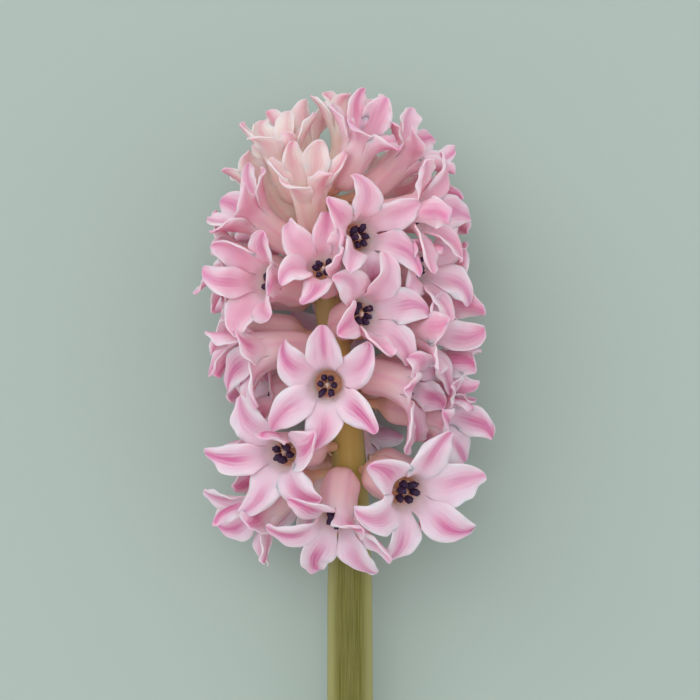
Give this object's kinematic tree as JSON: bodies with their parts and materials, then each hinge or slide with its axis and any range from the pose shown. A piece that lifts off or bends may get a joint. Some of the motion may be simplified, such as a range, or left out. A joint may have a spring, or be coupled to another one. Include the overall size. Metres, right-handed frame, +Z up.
{
  "type": "hyacinth flower",
  "caption": "Cut hyacinth flower lying on a surface: a thick green stem carrying a dense head of pale pink waxy bells with six-lobed mouths.",
  "frame": {"origin": "middle of the base of the bounding box, on the surface that the flower lies on", "axes": "+Y along the stem from its cut end to the crown of the head, +Z up, away from the surface, +X to the right of the front of the head"},
  "size_m": [0.0768, 0.2246, 0.0697],
  "materials": {
    "petal_pink": "waxy satin, pale pink with whitish edges and a deeper pink midrib",
    "petal_cream": "waxy satin, cream flushed with salmon pink",
    "stem_skin": "smooth satin plant skin, olive green turning golden brown in the head",
    "anther": "matt, nearly black purple with pollen dust"
  },
  "bodies": {
    "root": {"floret_01": "petal_pink", "floret_02": "petal_pink", "floret_03": "petal_pink", "floret_04": "petal_pink", "floret_05": "petal_pink", "floret_06": "petal_pink", "floret_07": "petal_pink", "floret_08": "petal_cream", "floret_09": "petal_pink", "floret_10": "petal_pink", "floret_11": "petal_pink", "floret_12": "petal_pink", "floret_13": "petal_pink", "floret_14": "petal_pink", "floret_15": "petal_pink", "floret_16": "petal_pink", "floret_17": "petal_pink", "floret_18": "petal_pink", "floret_19": "petal_pink", "floret_20": "petal_pink", "floret_21": "petal_pink", "floret_22": "petal_pink", "floret_23": "petal_pink", "floret_24": "petal_pink", "floret_25": "petal_cream", "floret_26": "petal_cream", "floret_27": "petal_cream", "floret_28": "petal_pink", "floret_29": "petal_pink", "floret_30": "petal_pink", "floret_31": "petal_cream", "floret_32": "petal_cream", "floret_33": "petal_pink", "floret_34": "petal_cream", "floret_35": "petal_pink", "floret_36": "petal_pink", "floret_37": "petal_pink", "floret_38": "petal_pink", "floret_39": "petal_pink", "floret_40": "petal_pink", "floret_41": "petal_pink", "floret_42": "petal_pink", "stamens_01": "anther", "stamens_02": "anther", "stamens_03": "anther", "stamens_04": "anther", "stamens_05": "anther", "stamens_06": "anther", "stamens_07": "anther", "stamens_11": "anther", "stamens_13": "anther", "stamens_14": "anther", "stamens_18": "anther", "stamens_20": "anther", "stamens_23": "anther", "stamens_24": "anther", "stamens_29": "anther", "stamens_30": "anther", "stem": "stem_skin"}
  },
  "joints": []
}
